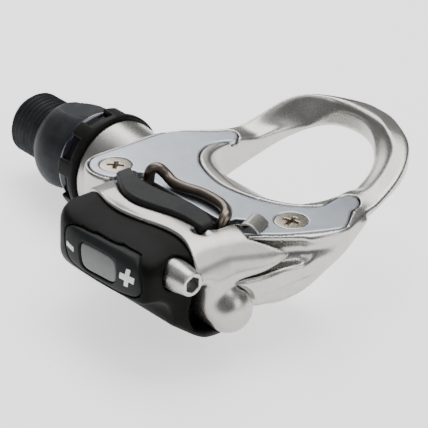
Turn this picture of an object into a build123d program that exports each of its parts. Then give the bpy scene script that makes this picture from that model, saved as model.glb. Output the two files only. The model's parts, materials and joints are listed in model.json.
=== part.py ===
"""Right-hand clipless road pedal with a toe loop, a sprung rear jaw and a threaded spindle.

Row frame, millimetres: the origin lies on the spindle axis at the shoulder that seats on the crank,
+X points outboard along the spindle, +Y points to the toe loop and +Z points up to the rider's shoe.
"""

from build123d import *
import os
from math import cos, pi, radians, sin, sqrt

os.makedirs("parts", exist_ok=True)

# --- Driving dimensions ---------------------------------------------------------------------------
THREAD_R = 7.144  # 9/16 in major diameter
THREAD_LENGTH = 11.0
THREAD_CHAMFER = 1.2
HEX_KEY = 8.0  # across flats, in the spindle's crank end
HEX_DEPTH = 7.0
COLLAR_R = 10.3
COLLAR_LENGTH = 10.0
WRENCH_FLATS = 15.0
JOURNAL_R = 6.0  # under the needle bearing
BALL_SEAT_R = 4.0
SPINDLE_TIP_R = 3.4

BODY_START = 18.4  # inboard face of the barrel
BORE_R = 8.0
BORE_END = 69.5
BARREL_R = 10.0
BARREL_MOUTH_R = 11.07
BARREL_TAPER_END = 28.2
BARREL_END = 72.5
BARREL_ROUND = 6.0

DECK_Z = 11.4  # top of the plate and of the rim round it
DECK_BACK = -11.8
LIP_Z = 17.1  # highest edge of the toe loop
PLATE_T = 1.2
RIM = 1.1

PIVOT_Y = -18.8
PIVOT_Z = -0.9
PIN_R = 2.25
BUSH_R = 3.0
BOSS_R = 4.8
LUG_R = 4.4
LUG = (52.6, 57.9)
INNER_BOSS = (39.9, 43.2)
OUTER_BOSS = (67.1, 79.4)
BOSS_DOME = 2.4

SCREW_Y = -28.6  # tension screw axis
SCREW_Z = 7.9
SCREW_R = 2.0
SCREW_HEAD_R = 3.2
SCREW_HEAD_TIP_R = 2.3
SCREW_HEAD_AT = 71.0
SCREW_HEAD_LENGTH = 6.2
SCREW_KEY = 2.5
NUT_AT = 49.4
NUT_LENGTH = 10.5
FLAG_AT = 51.4

SEAM = 0.12  # gap between pieces of one body that lie side by side
CLEAR = 0.4  # gap between pieces that move past each other
RUN_FIT = 0.05  # radial clearance of a running fit

WIRE_R = 1.2
COIL_R = 4.6
COIL_PITCH = 2.5
COIL_TURNS = 2.5

RACE_WIDTH = 5.0
RACE_STARTS = (56.0, 61.2)
BALL_PITCH_R = 6.0
BALL_R = 1.2
BALLS = 9
NEEDLE_START = 26.0
NEEDLE_LENGTH = 10.0
NEEDLE_R = 0.6
NEEDLES = 20

PLATE_SCREWS = ((34.4, -13.1), (74.0, -0.8))
PLATE_SCREW_HEAD_R = 3.36
PLATE_SCREW_R = 1.5


def ring_profile(start, end, inner, outer):
    """A rectangle in the half plane above the spindle axis, to be revolved about X."""
    with Locations(((start + end) / 2, (inner + outer) / 2)):
        Rectangle(end - start, outer - inner)


def polar(radius, angle):
    """Y and Z of a point on a circle about the spindle axis, by its angle from +Y in degrees."""
    return radius * cos(radians(angle)), radius * sin(radians(angle))


# --- Spindle and what turns with the crank --------------------------------------------------------
with BuildPart() as spindle:
    with BuildSketch(Plane.XZ):
        with BuildLine():
            Polyline(
                (-THREAD_LENGTH, 0),
                (-THREAD_LENGTH, THREAD_R - THREAD_CHAMFER),
                (-THREAD_LENGTH + THREAD_CHAMFER, THREAD_R),
                (0, THREAD_R),
                (0, THREAD_R + 1.4),
            )
            ThreePointArc((0, THREAD_R + 1.4), (COLLAR_LENGTH / 2, COLLAR_R), (COLLAR_LENGTH, 9.3))
            Polyline(
                (COLLAR_LENGTH, 9.3),
                (COLLAR_LENGTH, 7.5),
                (NEEDLE_START - 3, 7.5),
                (NEEDLE_START - 3, JOURNAL_R),
                (NEEDLE_START + NEEDLE_LENGTH + 2, JOURNAL_R),
                (NEEDLE_START + NEEDLE_LENGTH + 5, 5.2),
                (RACE_STARTS[0], 5.2),
                (RACE_STARTS[0], BALL_SEAT_R),
                (RACE_STARTS[1] + RACE_WIDTH, BALL_SEAT_R),
                (RACE_STARTS[1] + RACE_WIDTH, SPINDLE_TIP_R),
                (BORE_END - 0.6, SPINDLE_TIP_R),
                (BORE_END - 0.6, 0),
                (-THREAD_LENGTH, 0),
            )
        make_face()
    revolve(axis=Axis.X)
    with BuildSketch(Plane.YZ.offset(-THREAD_LENGTH)):
        RegularPolygon(HEX_KEY / 2, 6, major_radius=False)
    extrude(amount=HEX_DEPTH, mode=Mode.SUBTRACT)
    with BuildSketch(Plane.XY.offset(WRENCH_FLATS / 2)):
        with Locations((COLLAR_LENGTH / 2, 0)):
            Rectangle(COLLAR_LENGTH, 4 * COLLAR_R)
    extrude(amount=COLLAR_R, mode=Mode.SUBTRACT)
    with BuildSketch(Plane.XY.offset(-WRENCH_FLATS / 2)):
        with Locations((COLLAR_LENGTH / 2, 0)):
            Rectangle(COLLAR_LENGTH, 4 * COLLAR_R)
    extrude(amount=-COLLAR_R, mode=Mode.SUBTRACT)

spindle.part.label = "spindle"
export_step(spindle.part, "parts/spindle.step")

with BuildPart() as bearing_inner_races:
    with BuildSketch(Plane.XZ):
        for start in RACE_STARTS:
            ring_profile(start, start + RACE_WIDTH, BALL_SEAT_R, BALL_PITCH_R - 0.75)
            with Locations((start + RACE_WIDTH / 2, BALL_PITCH_R)):
                Circle(BALL_R + RUN_FIT, mode=Mode.SUBTRACT)
    revolve(axis=Axis.X)

bearing_inner_races.part.label = "bearing_inner_races"
export_step(bearing_inner_races.part, "parts/bearing_inner_races.step")

RACES_END = RACE_STARTS[1] + RACE_WIDTH
with BuildPart() as lock_washer:
    with BuildSketch(Plane.XZ):
        ring_profile(RACES_END, RACES_END + 0.5, SPINDLE_TIP_R, 5.0)
    revolve(axis=Axis.X)

lock_washer.part.label = "lock_washer"
export_step(lock_washer.part, "parts/lock_washer.step")

with BuildPart() as spindle_nut:
    with BuildSketch(Plane.YZ.offset(RACES_END + 0.5)):
        RegularPolygon(5.0, 6, major_radius=False)
        Circle(SPINDLE_TIP_R, mode=Mode.SUBTRACT)
    extrude(amount=2.0)

spindle_nut.part.label = "spindle_nut"
export_step(spindle_nut.part, "parts/spindle_nut.step")

# --- Rolling elements -----------------------------------------------------------------------------
with BuildPart() as bearing_balls:
    for start in RACE_STARTS:
        for index in range(BALLS):
            y, z = polar(BALL_PITCH_R, index * 360 / BALLS)
            with Locations((start + RACE_WIDTH / 2, y, z)):
                Sphere(BALL_R)

bearing_balls.part.label = "bearing_balls"
export_step(bearing_balls.part, "parts/bearing_balls.step")

with BuildPart() as ball_cages:
    with BuildSketch(Plane.XZ):
        for start in RACE_STARTS:
            ring_profile(start + 0.6, start + RACE_WIDTH - 0.6, BALL_PITCH_R - 0.45, BALL_PITCH_R + 0.45)
    revolve(axis=Axis.X)
    for start in RACE_STARTS:
        for index in range(BALLS):
            y, z = polar(BALL_PITCH_R, index * 360 / BALLS)
            with Locations((start + RACE_WIDTH / 2, y, z)):
                Sphere(BALL_R + RUN_FIT, mode=Mode.SUBTRACT)

ball_cages.part.label = "ball_cages"
export_step(ball_cages.part, "parts/ball_cages.step")

NEEDLE_PITCH_R = JOURNAL_R + RUN_FIT + NEEDLE_R
NEEDLE_MIDDLE = NEEDLE_START + NEEDLE_LENGTH / 2
with BuildPart() as needle_rollers:
    with BuildSketch(Plane.YZ.offset(NEEDLE_START + 1.4)):
        with PolarLocations(NEEDLE_PITCH_R, NEEDLES):
            Circle(NEEDLE_R)
    extrude(amount=NEEDLE_LENGTH - 2.8)

needle_rollers.part.label = "needle_rollers"
export_step(needle_rollers.part, "parts/needle_rollers.step")

with BuildPart() as needle_cage:
    with BuildSketch(Plane.XZ):
        cage_end = NEEDLE_START + NEEDLE_LENGTH - 0.8
        ring_profile(NEEDLE_START + 0.8, cage_end, NEEDLE_PITCH_R - 0.35, NEEDLE_PITCH_R + 0.35)
    revolve(axis=Axis.X)
    with BuildSketch(Plane.YZ.offset(NEEDLE_START + 1.35)):
        with PolarLocations(NEEDLE_PITCH_R, NEEDLES):
            Circle(NEEDLE_R + RUN_FIT)
    extrude(amount=NEEDLE_LENGTH - 2.7, mode=Mode.SUBTRACT)

needle_cage.part.label = "needle_cage"
export_step(needle_cage.part, "parts/needle_cage.step")

# --- Bearing parts that turn with the pedal body --------------------------------------------------
with BuildPart() as bearing_outer_races:
    with BuildSketch(Plane.XZ):
        for start in RACE_STARTS:
            ring_profile(start, start + RACE_WIDTH, BALL_PITCH_R + 0.75, BORE_R)
            with Locations((start + RACE_WIDTH / 2, BALL_PITCH_R)):
                Circle(BALL_R + RUN_FIT, mode=Mode.SUBTRACT)
    revolve(axis=Axis.X)

bearing_outer_races.part.label = "bearing_outer_races"
export_step(bearing_outer_races.part, "parts/bearing_outer_races.step")

NEEDLE_SHELL_R = NEEDLE_PITCH_R + NEEDLE_R + RUN_FIT
with BuildPart() as needle_shell:
    with BuildSketch(Plane.XZ):
        ring_profile(NEEDLE_START, NEEDLE_START + NEEDLE_LENGTH, NEEDLE_SHELL_R, BORE_R)
        ring_profile(NEEDLE_START, NEEDLE_START + 0.6, JOURNAL_R + 0.3, BORE_R)
        shell_end = NEEDLE_START + NEEDLE_LENGTH
        ring_profile(shell_end - 0.6, shell_end, JOURNAL_R + 0.3, BORE_R)
    revolve(axis=Axis.X)

needle_shell.part.label = "needle_shell"
export_step(needle_shell.part, "parts/needle_shell.step")

with BuildPart() as spacer_sleeve:
    with BuildSketch(Plane.XZ):
        ring_profile(NEEDLE_START + NEEDLE_LENGTH, RACE_STARTS[0], BORE_R - 1.2, BORE_R)
    revolve(axis=Axis.X)

spacer_sleeve.part.label = "spacer_sleeve"
export_step(spacer_sleeve.part, "parts/spacer_sleeve.step")

RING_START = 12.9
RING_R = 11.9
RING_THREAD_R = 9.3
RING_THREAD_END = 24.0
RING_NOTCHES = 8
with BuildPart() as lock_ring:
    with BuildSketch(Plane.XZ):
        ring_profile(RING_START, BODY_START - SEAM, 8.6, RING_R)
        ring_profile(BODY_START - SEAM, RING_THREAD_END, 7.9, RING_THREAD_R)
    revolve(axis=Axis.X)
    with BuildSketch(Plane.YZ.offset(RING_START)):
        with PolarLocations(RING_R + 0.55, RING_NOTCHES, start_angle=12):
            Rectangle(2.9, 5.2)
    extrude(amount=BODY_START - RING_START - 1.6, mode=Mode.SUBTRACT)

lock_ring.part.label = "lock_ring"
export_step(lock_ring.part, "parts/lock_ring.step")

with BuildPart() as lip_seal:
    with BuildSketch(Plane.XZ):
        with BuildLine():
            Polyline(
                (COLLAR_LENGTH + 0.35, 7.5 + RUN_FIT),
                (COLLAR_LENGTH + 0.35, 8.9),
                (COLLAR_LENGTH + 1.5, 10.3),
                (RING_START, 10.6),
                (RING_START, 8.6),
                (BODY_START - 1.4, 8.6),
                (BODY_START - 1.4, 7.5 + RUN_FIT),
                close=True,
            )
        make_face()
    revolve(axis=Axis.X)

lip_seal.part.label = "lip_seal"
export_step(lip_seal.part, "parts/lip_seal.step")

# --- Outlines shared by the casting, the plate and the jaw ----------------------------------------
PAD_R = 6.5  # round corner of the deck about the inboard plate screw
PAD_X, PAD_Y = PLATE_SCREWS[0]
DECK_IN = PAD_X - PAD_R
NOTCH_IN = 38.4  # inboard side of the jaw's notch in the deck
NOTCH_OUT = 71.6
FLANK_OUT = 81.2
PAD_FOOT_Y = PAD_Y - sqrt(PAD_R**2 - (NOTCH_IN - PAD_X) ** 2)
PAD_SIDE = (PAD_X - PAD_R * cos(pi / 4), PAD_Y - PAD_R * sin(pi / 4))
SEAT_R = PAD_R - RIM
SEAT_FOOT_Y = PAD_Y - sqrt(SEAT_R**2 - (NOTCH_IN - PAD_X) ** 2)
SEAT_SIDE = (PAD_X - SEAT_R * cos(pi / 4), PAD_Y - SEAT_R * sin(pi / 4))
SLOT = ((66.6, -13.0), (70.3, -7.2))  # slot for the edge clip, opposite corners in plan
SLOT_FLOOR_Z = 6.6
slot_corners = (SLOT[0], (SLOT[1][0], SLOT[0][1]), SLOT[1], (SLOT[0][0], SLOT[1][1]))

# Outer plan outline of the casting, from the pad corner round the toe loop to the jaw's notch.
with BuildSketch() as deck_outline:
    with BuildLine():
        Line((NOTCH_IN, DECK_BACK), (NOTCH_IN, PAD_FOOT_Y))
        ThreePointArc((NOTCH_IN, PAD_FOOT_Y), PAD_SIDE, (DECK_IN, PAD_Y))
        Line((DECK_IN, PAD_Y), (DECK_IN, 3.4))
        Spline(
            (DECK_IN, 3.4),
            (30.1, 8.6),
            (34.6, 15.5),
            (36.2, 23.0),
            (39.6, 30.5),
            (46.0, 38.0),
            (55.0, 41.2),
            (64.5, 38.7),
            (72.6, 32.2),
            (77.9, 23.5),
            (80.3, 13.0),
            (83.3, 5.0),
            tangents=((0, 1), (0.1, -1)),
        )
        Spline((83.3, 5.0), (79.2, -5.0), (NOTCH_OUT + 2.4, DECK_BACK), tangents=((0.1, -1), (-0.7, -1)))
        Line((NOTCH_OUT + 2.4, DECK_BACK), (NOTCH_IN, DECK_BACK))
    make_face()

# Plan outline of the opening inside the toe loop.
with BuildSketch() as loop_hole:
    with BuildLine():
        Spline(
            (56.5, 0.9),
            (67.2, 4.0),
            (72.3, 11.0),
            (71.6, 20.0),
            (67.9, 29.6),
            (60.5, 35.8),
            (51.8, 36.6),
            (44.6, 32.6),
            (41.4, 23.0),
            (40.9, 11.0),
            (45.9, 4.0),
            periodic=True,
        )
    make_face()

# Plan outline of the cleat plate: a waist between two ears, and a round corner at the pad.
with BuildSketch() as plate_outline:
    with BuildLine():
        ThreePointArc((NOTCH_IN, SEAT_FOOT_Y), SEAT_SIDE, (DECK_IN + RIM, PAD_Y))
        Line((DECK_IN + RIM, PAD_Y), (DECK_IN + RIM, 3.2))
        Spline(
            (DECK_IN + RIM, 3.2),
            (31.2, 8.2),
            (35.3, 13.2),
            (38.1, 16.1),
            (40.2, 13.2),
            (39.1, 8.4),
            (44.4, 1.0),
            (56.0, -1.9),
            (68.0, 1.9),
            (73.3, 8.4),
            (73.2, 14.2),
            (75.2, 16.0),
            (77.6, 13.4),
            (80.2, 9.0),
            (82.2, 4.4),
            tangents=((0, 1), (0, -1)),
        )
        Spline((82.2, 4.4), (78.0, -4.7), (NOTCH_OUT + 1.2, -11.0), tangents=((0, -1), (-0.7, -1)))
        Polyline(
            (NOTCH_OUT + 1.2, -11.0),
            (NOTCH_OUT + 1.2, DECK_BACK),
            (NOTCH_IN, DECK_BACK),
            (NOTCH_IN, SEAT_FOOT_Y),
        )
    make_face()


# Plan of the space beside the flank and the jaw's arm, which taper inboard towards the boss.
with BuildSketch() as outer_side:
    Polygon(
        (77.4, -26.0),
        (77.4, -18.6),
        (79.4, -12.0),
        (FLANK_OUT, -5.0),
        (FLANK_OUT + 9, -5.0),
        (FLANK_OUT + 9, -26.0),
        align=None,
    )

# --- Casting --------------------------------------------------------------------------------------
BODY_FLOOR = -5.0
LUG_ROOT_Y = -8.5  # inside the barrel
ROUND_INSET = BARREL_ROUND * (1 - cos(pi / 4))
BODY_OUT = 84.0
FLANK_START = 70.8
with BuildPart() as pedal_body:
    # Deck, arms and toe loop: the plan outline, kept between an upper and a lower side profile.
    with BuildSketch(Plane.XY.offset(BODY_FLOOR)):
        add(deck_outline.sketch)
    extrude(amount=LIP_Z - BODY_FLOOR)
    with BuildSketch(Plane.YZ):
        with BuildLine():
            Polyline((-20.0, -4.6), (-20.0, DECK_Z), (16.5, DECK_Z))
            Spline(
                (16.5, DECK_Z),
                (21.5, 11.2),
                (26.0, 13.1),
                (29.2, 15.7),
                (33.0, LIP_Z - 0.1),
                (41.6, 16.2),
                tangents=((1, 0), (1, -0.12)),
            )
            Line((41.6, 16.2), (41.6, 12.4))
            Spline(
                (41.6, 12.4),
                (30.0, 8.8),
                (13.0, 3.0),
                (-2.0, -2.2),
                (-20.0, -4.6),
                tangents=((-1, -0.25), (-1, -0.05)),
            )
        make_face()
    extrude(amount=BODY_OUT, mode=Mode.INTERSECT)
    with BuildSketch(Plane.XY.offset(BODY_FLOOR)):
        add(loop_hole.sketch)
    extrude(amount=LIP_Z - BODY_FLOOR, mode=Mode.SUBTRACT)
    # Barrel with a rounded outboard end.
    with BuildSketch(Plane.XZ):
        with BuildLine():
            Polyline(
                (BODY_START, 0),
                (BODY_START, BARREL_MOUTH_R),
                (BARREL_TAPER_END, BARREL_R),
                (BARREL_END - BARREL_ROUND, BARREL_R),
            )
            ThreePointArc(
                (BARREL_END - BARREL_ROUND, BARREL_R),
                (BARREL_END - ROUND_INSET, BARREL_R - ROUND_INSET),
                (BARREL_END, BARREL_R - BARREL_ROUND),
            )
            Polyline((BARREL_END, BARREL_R - BARREL_ROUND), (BARREL_END, 0), (BODY_START, 0))
        make_face()
    revolve(axis=Axis.X)
    # Outboard flank, which reaches back under the jaw's arm.
    with BuildSketch(Plane.YZ.offset(FLANK_START)):
        with BuildLine():
            Polyline(
                (-17.6, 3.2),
                (-4.6, 7.3),
                (-3.4, 9.6),
                (14.0, 9.6),
                (14.0, 6.6),
                (0.0, 1.0),
                (-12.0, -3.6),
                (-16.0, -4.2),
                close=True,
            )
        make_face()
        with Locations((PIVOT_Y, PIVOT_Z)):
            Circle(BOSS_R + CLEAR, mode=Mode.SUBTRACT)
    extrude(amount=FLANK_OUT - FLANK_START)
    with BuildSketch(Plane.XY.offset(-8.0)):
        add(outer_side.sketch)
    extrude(amount=15.0, mode=Mode.SUBTRACT)
    # Lug for the jaw's pin.
    with BuildSketch(Plane.YZ.offset(LUG[0])):
        with Locations((PIVOT_Y, PIVOT_Z)):
            Circle(LUG_R)
        Polygon(
            (PIVOT_Y, PIVOT_Z + LUG_R),
            (LUG_ROOT_Y, 4.6),
            (LUG_ROOT_Y, -2.6),
            (PIVOT_Y, PIVOT_Z - LUG_R),
            align=None,
        )
    extrude(amount=LUG[1] - LUG[0])
    # Seat of the plate, its screw holes, the pin's holes and the bearing bore.
    with BuildSketch(Plane.XY.offset(DECK_Z - PLATE_T)):
        add(plate_outline.sketch)
    extrude(amount=2 * PLATE_T, mode=Mode.SUBTRACT)
    with BuildSketch(Plane.XY.offset(SLOT_FLOOR_Z)):
        Polygon(*slot_corners, align=None)
    extrude(amount=DECK_Z - SLOT_FLOOR_Z, mode=Mode.SUBTRACT)
    with Locations(*[(x, y, DECK_Z - PLATE_T) for x, y in PLATE_SCREWS]):
        Hole(PLATE_SCREW_R, depth=7.0)
    with BuildSketch(Plane.YZ.offset(LUG[0])):
        with Locations((PIVOT_Y, PIVOT_Z)):
            Circle(BUSH_R)
    extrude(amount=LUG[1] - LUG[0], mode=Mode.SUBTRACT)
    with BuildSketch(Plane.XZ):
        ring_profile(BODY_START, BORE_END, 0, BORE_R)
        ring_profile(BODY_START, RING_THREAD_END, 0, RING_THREAD_R)
    revolve(axis=Axis.X, mode=Mode.SUBTRACT)

pedal_body.part.label = "pedal_body"
export_step(pedal_body.part, "parts/pedal_body.step")

with BuildPart() as top_plate:
    with BuildSketch(Plane.XY.offset(DECK_Z - PLATE_T)):
        add(plate_outline.sketch)
        Polygon(*slot_corners, align=None, mode=Mode.SUBTRACT)
    extrude(amount=PLATE_T)
    with Locations(*[(x, y, DECK_Z) for x, y in PLATE_SCREWS]):
        CounterSinkHole(PLATE_SCREW_R + 0.1, PLATE_SCREW_HEAD_R + 0.05, counter_sink_angle=100)

top_plate.part.label = "top_plate"
export_step(top_plate.part, "parts/top_plate.step")

with BuildPart() as plate_screws:
    for x, y in PLATE_SCREWS:
        with BuildSketch(Plane.XY.offset(DECK_Z)):
            with Locations((x, y)):
                Circle(PLATE_SCREW_HEAD_R)
        extrude(amount=-PLATE_T, taper=50)
        with BuildSketch(Plane.XY.offset(DECK_Z)):
            with Locations((x, y)):
                Circle(PLATE_SCREW_R)
        extrude(amount=-PLATE_T - 6.5)
        with BuildSketch(Plane.XY.offset(DECK_Z)):
            with Locations((x, y)):
                Rectangle(3.2, 0.8, rotation=40)
                Rectangle(3.2, 0.8, rotation=130)
        extrude(amount=-1.3, taper=12, mode=Mode.SUBTRACT)

plate_screws.part.label = "plate_screws"
export_step(plate_screws.part, "parts/plate_screws.step")

# Sheet clip folded over the outboard edge of the slot.
CLIP_BACK = -11.4
CLIP_WIDTH = 4.0
CLIP_T = 0.5
with BuildPart() as edge_clip:
    with BuildSketch(Plane.XZ.offset(-CLIP_BACK)):
        with BuildLine():
            FilletPolyline(
                (SLOT[1][0] - 0.35, 7.4),
                (SLOT[1][0] - 0.35, DECK_Z + 1.7),
                (SLOT[1][0] + 2.2, DECK_Z + 1.5),
                (SLOT[1][0] + 3.4, DECK_Z + 0.35),
                radius=0.9,
            )
            offset(amount=CLIP_T / 2, side=Side.BOTH)
        make_face()
    extrude(amount=-CLIP_WIDTH)

edge_clip.part.label = "edge_clip"
export_step(edge_clip.part, "parts/edge_clip.step")

# --- Jaw hinge ------------------------------------------------------------------------------------
def pivot_plane(x):
    """A plane across the jaw's pivot axis, with its origin on that axis."""
    return Plane(origin=(x, PIVOT_Y, PIVOT_Z), x_dir=(0, 1, 0), z_dir=(1, 0, 0))


PIN_START = INNER_BOSS[0] - 1.1
PIN_END = OUTER_BOSS[1] - 3.4
with BuildPart() as pivot_pin:
    with BuildSketch(pivot_plane(PIN_START)):
        Circle(PIN_R)
    extrude(amount=PIN_END - PIN_START)
    with BuildSketch(pivot_plane(PIN_START + 0.3)):
        Circle(PIN_R)
        Circle(PIN_R - 0.4, mode=Mode.SUBTRACT)
    extrude(amount=0.6, mode=Mode.SUBTRACT)

pivot_pin.part.label = "pivot_pin"
export_step(pivot_pin.part, "parts/pivot_pin.step")

with BuildPart() as pin_clip:
    with BuildSketch(pivot_plane(PIN_START + 0.3)):
        Circle(PIN_R + 0.9)
        Circle(PIN_R - 0.4, mode=Mode.SUBTRACT)
        with Locations((-PIN_R, 0)):
            Rectangle(2 * PIN_R, 2.0, mode=Mode.SUBTRACT)
    extrude(amount=0.6)

pin_clip.part.label = "pin_clip"
export_step(pin_clip.part, "parts/pin_clip.step")

with BuildPart() as pivot_bush:
    with BuildSketch(pivot_plane(LUG[0])):
        Circle(BUSH_R)
        Circle(PIN_R + RUN_FIT, mode=Mode.SUBTRACT)
    extrude(amount=LUG[1] - LUG[0])

pivot_bush.part.label = "pivot_bush"
export_step(pivot_bush.part, "parts/pivot_bush.step")

# Lever of the jaw: a band across the back, an inboard arm, an outboard arm and two pivot bosses.
BAND_START = 38.8
BAND_BACK = -24.6
BAND_TOP = 13.4
SHELF_Z = 11.7  # seat of the lip
EAR_FOOT_Z = 5.0
EAR_TOP_Z = 10.8
EAR_BACK = -31.0
EAR_FRONT = -22.0
ARM_START = 71.0
EARS = ((40.0, 43.0), (67.1, 69.6))
with BuildPart() as rear_lever:
    with BuildSketch(pivot_plane(OUTER_BOSS[0])):
        Circle(BOSS_R)
    extrude(amount=OUTER_BOSS[1] - OUTER_BOSS[0])
    fillet(rear_lever.faces().sort_by(Axis.X)[-1].edges(), BOSS_DOME)
    with BuildSketch(Plane.YZ.offset(BAND_START)):
        with BuildLine():
            Polyline(
                (BAND_BACK, 6.8),
                (BAND_BACK, 12.4),
                (-23.2, BAND_TOP),
                (-21.6, BAND_TOP),
                (-21.6, SHELF_Z),
                (-16.9, SHELF_Z),
                (-16.9, 9.4),
                (-19.5, 6.8),
                close=True,
            )
        make_face()
    extrude(amount=76.5 - BAND_START)
    with BuildSketch(Plane.YZ.offset(INNER_BOSS[0])):
        Polygon((-23.4, -1.5), (BAND_BACK, 7.5), (-16.9, 10.0), (-14.4, 0.5), align=None)
        with Locations((PIVOT_Y, PIVOT_Z)):
            Circle(BOSS_R)
    extrude(amount=INNER_BOSS[1] - INNER_BOSS[0])
    with BuildSketch(Plane.YZ.offset(ARM_START)):
        with BuildLine():
            Polyline(
                (-18.0, 3.9),
                (-12.6, 5.2),
                (-5.4, 7.9),
                (-9.0, 11.3),
                (-13.4, 12.9),
                (-18.0, 13.6),
                (-23.2, 13.2),
                (BAND_BACK, 11.5),
                (-22.6, 4.5),
                (-23.4, -1.5),
                close=True,
            )
        make_face()
    extrude(amount=FLANK_OUT - ARM_START)
    with BuildSketch(Plane.XY.offset(-8.0)):
        add(outer_side.sketch)
    extrude(amount=30.0, mode=Mode.SUBTRACT)
    for start, end in EARS:
        with BuildSketch(Plane.YZ.offset(start)):
            Polygon(
                (EAR_BACK, EAR_FOOT_Z),
                (EAR_BACK, EAR_TOP_Z),
                (EAR_FRONT, EAR_TOP_Z),
                (EAR_FRONT, EAR_FOOT_Z),
                align=None,
            )
        extrude(amount=end - start)
    # Slope of the outboard shoulder, and room for the deck.
    with BuildSketch(Plane.XZ):
        Polygon(
            (30.0, -8.0),
            (30.0, BAND_TOP),
            (67.0, BAND_TOP),
            (73.0, 12.6),
            (78.0, 10.4),
            (FLANK_OUT + 0.2, 7.6),
            (FLANK_OUT + 0.2, -8.0),
            align=None,
        )
    extrude(amount=40.0, mode=Mode.INTERSECT)
    with BuildSketch(Plane.XY.offset(-8.0)):
        Polygon(
            (50.0, DECK_BACK - CLEAR),
            (NOTCH_OUT + 2.3, DECK_BACK - CLEAR),
            (79.6, -5.3),
            (83.9, 5.0),
            (50.0, 5.0),
            align=None,
        )
    extrude(amount=30.0, mode=Mode.SUBTRACT)
    with BuildSketch(pivot_plane(INNER_BOSS[0])):
        Circle(PIN_R)
    extrude(amount=PIN_END - INNER_BOSS[0], mode=Mode.SUBTRACT)
    with BuildSketch(Plane.YZ.offset(INNER_BOSS[0])):
        with Locations((SCREW_Y, SCREW_Z)):
            Circle(SCREW_R + RUN_FIT)
    extrude(amount=50.0, mode=Mode.SUBTRACT)

rear_lever.part.label = "rear_lever"
export_step(rear_lever.part, "parts/rear_lever.step")

with BuildPart() as jaw_lip:
    with BuildSketch(Plane.XY.offset(SHELF_Z)):
        with BuildLine():
            Spline(
                (40.4, -15.2),
                (47.0, -17.0),
                (55.6, -16.2),
                (63.6, -15.6),
                (68.6, -17.6),
                tangents=((1, -0.5), (1, -0.8)),
            )
            Line((68.6, -17.6), (68.6, -19.7))
            Spline(
                (68.6, -19.7),
                (60.0, -20.4),
                (51.0, -21.5),
                (43.6, -19.8),
                (40.4, -17.4),
                tangents=((-1, 0), (-0.4, 1)),
            )
            Line((40.4, -17.4), (40.4, -15.2))
        make_face()
    extrude(amount=2.6)
    fillet(jaw_lip.faces().sort_by(Axis.Z)[-1].edges(), 0.45)

jaw_lip.part.label = "jaw_lip"
export_step(jaw_lip.part, "parts/jaw_lip.step")

# --- Adjuster cover and what it holds -------------------------------------------------------------
COVER_FRONT = BAND_BACK - SEAM
HUB_R = 7.9
HUB_BORE = 6.6
PLATE_BACK = -35.1  # back of the indicator plate
CAVITY_BACK = -33.9


def hub_point(radius, angle):
    """Y and Z of a point on a circle about the jaw's pivot, by its angle from +Y in degrees."""
    return PIVOT_Y + radius * cos(radians(angle)), PIVOT_Z + radius * sin(radians(angle))


# Outer shape of the cover: where its side, front and plan outlines overlap.
with BuildPart() as cover_form:
    with BuildSketch(Plane.YZ.offset(36.0)):
        with BuildLine():
            Spline(
                (COVER_FRONT, 12.4),
                (-29.6, 12.1),
                (-34.6, 10.6),
                (-36.7, 7.8),
                (-37.0, 4.4),
                (-36.0, 0.4),
                (-32.6, -3.6),
                hub_point(HUB_R, 240),
                tangents=((-1, 0.05), (0.87, -0.5)),
            )
            ThreePointArc(hub_point(HUB_R, 240), hub_point(HUB_R, 270), hub_point(HUB_R, 300))
            Polyline(hub_point(HUB_R, 300), (PIVOT_Y, PIVOT_Z), (COVER_FRONT, PIVOT_Z), (COVER_FRONT, 12.4))
        make_face()
    extrude(amount=45.0)
    with BuildSketch(Plane.XZ.offset(10.0)):
        with BuildLine():
            Polyline((44.0, 12.6), (64.0, 12.6), (77.2, 5.4))
            Spline(
                (77.2, 5.4),
                (77.6, 0.0),
                (74.6, -7.0),
                (66.5, -9.0),
                (57.0, -8.6),
                (49.0, -6.0),
                (42.4, -4.6),
                (38.2, -0.4),
                (38.0, 7.0),
                (44.0, 12.6),
                tangents=((0.4, -1), (1, 0)),
            )
        make_face()
    extrude(amount=30.0, mode=Mode.INTERSECT)
    with BuildSketch(Plane.XY.offset(-10.0)):
        with BuildLine():
            Line((79.0, -10.0), (37.9, -10.0))
            Spline(
                (37.9, -10.0),
                (37.9, -24.0),
                (40.2, -31.0),
                (46.0, -35.6),
                (56.0, -37.0),
                tangents=((0, -1), (1, 0)),
            )
            Spline(
                (56.0, -37.0),
                (66.0, -36.8),
                (71.6, -34.4),
                (75.2, -28.0),
                (79.0, -10.0),
                tangents=((1, 0), (0.1, 1)),
            )
        make_face()
    extrude(amount=25.0, mode=Mode.INTERSECT)

# Front outlines of the indicator plate and of its lens.
with BuildSketch() as indicator_outline:
    with BuildLine():
        Spline(
            (45.4, 7.0),
            (46.6, 9.4),
            (57.6, 10.1),
            (67.4, 10.4),
            (70.6, 8.6),
            (70.9, 5.0),
            (66.6, 1.9),
            (54.4, 0.6),
            (47.0, 2.2),
            periodic=True,
        )
    make_face()

with BuildSketch() as lens_outline:
    with BuildLine():
        Polyline((52.0, 8.5), (62.4, 8.9), (63.4, 5.6), (62.0, 3.9), (54.4, 3.4), close=True)
    make_face()
    fillet(lens_outline.vertices(), 0.9)

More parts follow.
